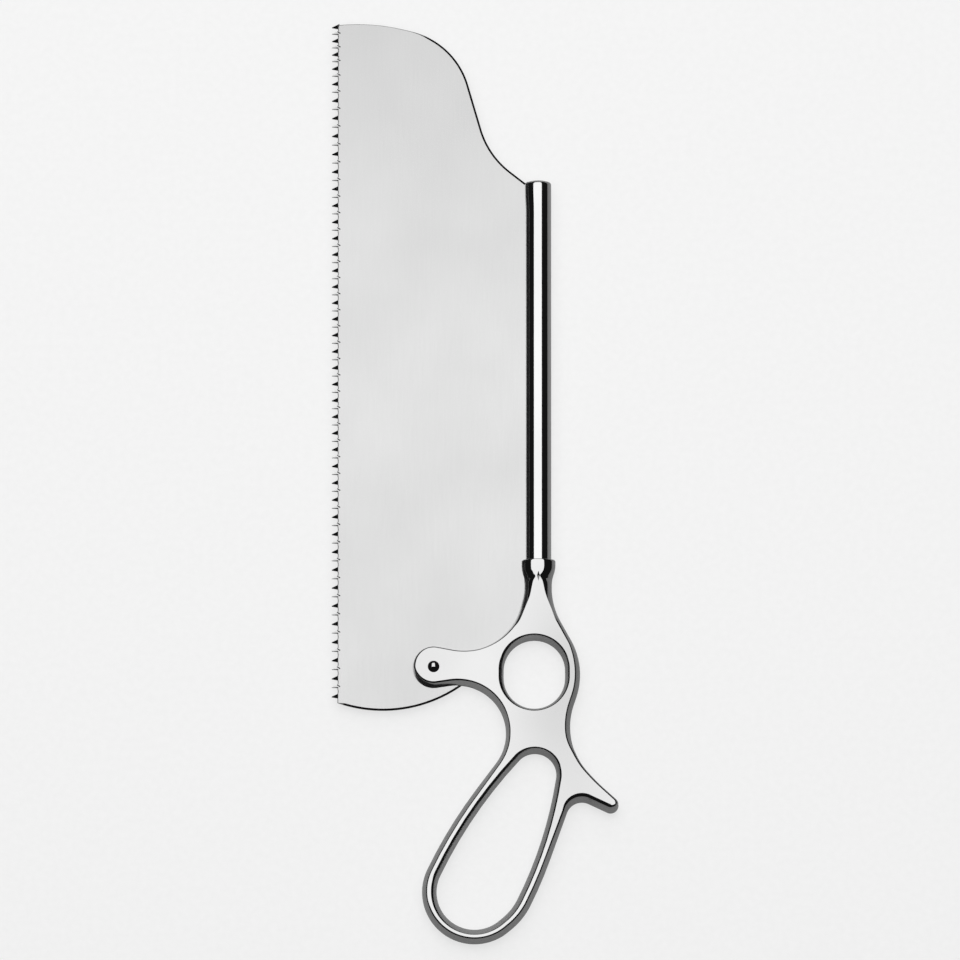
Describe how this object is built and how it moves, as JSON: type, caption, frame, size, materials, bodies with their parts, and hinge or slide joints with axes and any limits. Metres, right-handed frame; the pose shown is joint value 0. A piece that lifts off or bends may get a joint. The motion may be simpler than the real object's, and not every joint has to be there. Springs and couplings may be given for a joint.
{
  "type": "autopsy saw",
  "caption": "Flat bone saw: toothed blade hinged in a slotted lug, its back held by a slotted round rod, with a finger ring, closed finger loop and rear horn.",
  "frame": {"origin": "middle of the underside of the box, on the table, with the saw lying flat", "axes": "+Y from the loop to the blade's tip, +Z out of the front face, teeth towards -X"},
  "size_m": [0.105, 0.3402, 0.0114],
  "materials": {
    "polished_steel": "mirror polished",
    "blade_steel": "satin ground"
  },
  "bodies": {
    "frame": {"handle": "polished_steel", "back_rod": "polished_steel", "pivot_pin": "polished_steel"},
    "blade": {"blade": "blade_steel"}
  },
  "joints": [
    {"name": "blade_swing", "type": "hinge", "parent": "frame", "child": "blade", "pos_m": [-0.0152, -0.0681, 0.0057], "axis": [0, 0, 1], "range_deg": [0, 85]}
  ]
}
